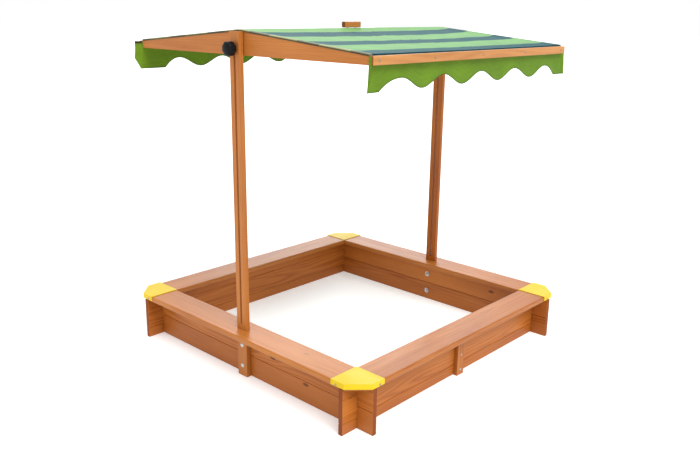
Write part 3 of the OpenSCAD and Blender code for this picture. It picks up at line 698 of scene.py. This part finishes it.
ROOF_CLOTH = cloth("striped_cloth", stripes, 0.13)
VALANCE_CLOTH = cloth("leaf_green_cloth", leaf_green, 0.06)
print("cloth materials ready")

# %% [markdown]
# The roof cloth is stretched over the two gable boards and the ridge beam, and
# clamped along the eaves. Between them it sags by about a centimetre. It is one
# surface: its section across the roof is bent over the eaves, and its section along
# the ridge is folded over the gables. A cloth simulation would give nearly the same
# sag, but the worked-out surface keeps the folds exact and runs at once.

# %% Roof cloth
CLOTH_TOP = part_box("roof_cloth")[1].z
GABLE_LOW, GABLE_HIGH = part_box("gable_front")
EAVE_X = GABLE_HIGH.x
RIDGE_Z = GABLE_HIGH.z
GABLE_RISE = 53 / 79     # a gable's rise from its end to the ridge, over its height there
EAVE_Z = CLOTH_TOP - (RIDGE_Z - CLOTH_TOP) - (RIDGE_Z - GABLE_LOW.z) * GABLE_RISE
GABLE_Y = -GABLE_LOW.y
SHEET_T = 0.0008
EAVE_FOLD = 0.025
GABLE_FOLD = 0.0062
SAG = 0.0140


def fold_path(half, fold, radius, flat_steps, bend_steps=7, fold_steps=5):
    """Along a flat run and down a fold at each end: returns (sideways, drop, length) arrays."""
    turn = np.linspace(0, np.pi / 2, bend_steps)
    bend_s = half - radius + radius * np.sin(turn)
    bend_d = radius - radius * np.cos(turn)
    fold_d = np.linspace(radius, fold, fold_steps)[1:]
    side = np.concatenate([bend_s, np.full(fold_steps - 1, half)])
    drop = np.concatenate([bend_d, fold_d])
    flat = np.linspace(-(half - radius), half - radius, flat_steps)[1:-1]
    sideways = np.concatenate([-side[::-1], flat, side])
    down = np.concatenate([drop[::-1], np.zeros(len(flat)), drop])
    length = np.concatenate([[0.0], np.cumsum(np.hypot(np.diff(sideways), np.diff(down)))])
    return sideways, down, length - length[-1] / 2


def wander(rng, where, waves, low, high):
    """A sum of sine waves with seeded lengths and phases, about -1 to 1."""
    total = np.zeros_like(where)
    for _ in range(waves):
        total = total + np.sin(where * rng.uniform(low, high) + rng.uniform(0, 2 * np.pi))
    return total / waves


def make_roof_cloth():
    """Height = roof line - sag(x, y) + ripples, less the drop of the folds at the edges."""
    rng = np.random.default_rng(7)
    lift = 0.0009
    xs, x_drop, x_run = fold_path(EAVE_X + 0.0005, EAVE_FOLD, 0.0020, 181)
    ys, y_drop, y_run = fold_path(GABLE_Y + BEND_OUT, GABLE_FOLD, BEND, 161)
    x, y = xs[:, None], ys[None, :]
    t = np.abs(x) / EAVE_X
    line = RIDGE_Z + lift - (RIDGE_Z - EAVE_Z) * np.clip(t, 0, 1)
    line = line - 0.0012 * np.exp(-(np.abs(x) / 0.006) ** 2)
    along = np.clip((y + GABLE_Y) / (2 * GABLE_Y), 0, 1)
    inside = np.clip(GABLE_Y - 0.016 - np.abs(y), 0, None)
    belly = 0.5 * (1 - np.exp(-inside / 0.018)) + 0.5 * np.sin(np.pi * along)
    slack = (1 - np.exp(-np.clip(np.abs(x) - 0.008, 0, None) / 0.045)) * (1 - 0.86 * np.clip(t, 0, 1) ** 1.3)
    sag = SAG * belly * slack
    near_eave = np.exp(-((1 - t) / 0.16) ** 2) * smooth_step((1 - t) / 0.04)
    ripple = 0.0010 * near_eave * wander(rng, y + 0 * x, 5, 25, 70) * smooth_step(belly / 0.3)
    creases = np.zeros_like(y)
    for place in rng.uniform(-0.46, 0.46, 7):
        creases = creases + 0.0016 * np.exp(-(np.abs(y - place) / 0.007) ** 1.5)
    soft = (0.0020 * wander(rng, 0.8 * x + y, 5, 12, 48) + creases) * np.clip(slack * belly, 0, 1)
    z = line - sag + ripple + soft - x_drop[:, None]
    z = z - y_drop[None, :] * (1 - smooth_step(x_drop[:, None] / 0.002))
    grid = np.stack([x + 0 * y, y + 0 * x, z], axis=-1)
    uv = np.stack(np.meshgrid(x_run, y_run, indexing="ij"), axis=-1)
    piece = surface("roof_sheet", grid, ROOF_CLOTH, uv=uv)
    wall = piece.modifiers.new("cloth_thickness", "SOLIDIFY")
    wall.thickness, wall.offset = SHEET_T, 0.0
    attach(piece, "canopy")
    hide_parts("roof_cloth")
    return piece


make_roof_cloth()

# %% [markdown]
# A valance hangs along each eave, clamped behind the batten: a plain strip with a
# scalloped lower edge. Its ends are longer than the batten and turn outwards past
# it. Its lower edge is a cosine along the eave between the flat tabs at its ends.
# The cloth is loose, so it swings in and out, more the further it hangs.

# %% Valances
SCALLOP_DEPTH = 0.034
SCALLOP_PITCH = 0.198
FULL_DEPTH = 0.060       # how far down a turned end keeps its full reach
BACK_REACH = 0.016
BACK_ANGLE = 20
END_STEPS = 12
VALANCE_T = 0.0007


def scallop_edge(y, low, half, shift, cuts):
    """Lower edge = low + depth x (1 + cos(2 pi (y - shift) / pitch)) / 2 between the outer tops.

    Outside them it is low + depth x (1 - u ^ 2.3) down to a flat tab, u being the distance
    from the top over that end's share in cuts of half a pitch.
    """
    pitch = SCALLOP_PITCH
    first = pitch * np.round((-half - shift) / pitch + 0.5) + shift
    last = pitch * np.round((half - shift) / pitch - 0.5) + shift
    wave = low + SCALLOP_DEPTH * (1 + np.cos(2 * np.pi * (y - shift) / pitch)) / 2
    u = np.maximum((first - y) / (cuts[0] * pitch / 2), (y - last) / (cuts[1] * pitch / 2))
    end = low + SCALLOP_DEPTH * np.clip(1 - np.clip(u, 0, None) ** 2.3, 0, 1)
    return np.where(u > 0, end, wave)


def make_valance(node, name, side, shift, seed, cuts, open_front, reach_front):
    """Points run from the batten down to the scalloped edge, and swing outwards by a slow wave.

    Past the batten's ends the strip turns outwards. The front end turns by open_front
    degrees, reaches reach_front metres and narrows towards the lower corner; the back
    end hangs almost straight on.
    """
    rng = np.random.default_rng(seed)
    low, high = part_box(node)
    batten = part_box(node.replace("valance", "eave_batten"))
    half = high.y - 0.0005
    turn = np.linspace(0, 1, END_STEPS + 1)[1:]
    flat = np.linspace(-1, 1, 361)
    main = np.concatenate([np.full(END_STEPS, -1.0), flat, np.full(END_STEPS, 1.0)])[:, None]
    past = np.concatenate([turn[::-1], np.zeros(len(flat)), turn])[:, None]
    t = np.linspace(0, 1, 49)[None, :]
    edge = scallop_edge(main * half, low.z, half, shift, cuts)
    z = high.z + (edge - high.z) * t
    hang = np.clip((batten[0].z - z) / (batten[0].z - low.z), 0, 1)
    narrow = np.clip((z - low.z) / (high.z - FULL_DEPTH - low.z), 0.03, 1)
    reach = np.where(main < 0, reach_front * narrow, BACK_REACH * (0.8 + 0.2 * narrow))
    angle = np.radians(np.where(main < 0, open_front, BACK_ANGLE))
    beyond = past * reach
    bent = smooth_step(beyond / 0.004 + 0.4)
    sideways = beyond * np.sin(angle) * bent
    y = main * (half + 0.008 * hang ** 1.5) + np.sign(main) * beyond * np.cos(angle)
    inner = min(abs(low.x), abs(high.x)) + 0.0005
    wave = 0.6 * np.cos(2 * np.pi * (y - shift) / SCALLOP_PITCH) + 0.7 * wander(rng, y, 4, 12, 40)
    swing = 0.0052 * hang ** 1.3 * (0.55 + 0.5 * wave)
    x = side * (inner + swing + sideways)
    grid = np.stack([x, y, z + 0 * y], axis=-1)
    run = main * half + np.sign(main) * beyond
    uv = np.stack([run, z - edge], axis=-1)
    if side < 0:
        grid, uv = grid[::-1], uv[::-1]
    piece = surface(name, grid, VALANCE_CLOTH, uv=uv)
    wall = piece.modifiers.new("cloth_thickness", "SOLIDIFY")
    wall.thickness, wall.offset = VALANCE_T, 0.0
    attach(piece, "canopy")
    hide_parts(node)
    return piece


make_valance("valance_right", "valance_cloth_right", 1, shift=0.012, seed=11, cuts=(0.93, 0.60),
             open_front=85, reach_front=0.011)
make_valance("valance_left", "valance_cloth_left", -1, shift=0.032, seed=12, cuts=(0.60, 0.60),
             open_front=48, reach_front=0.027)
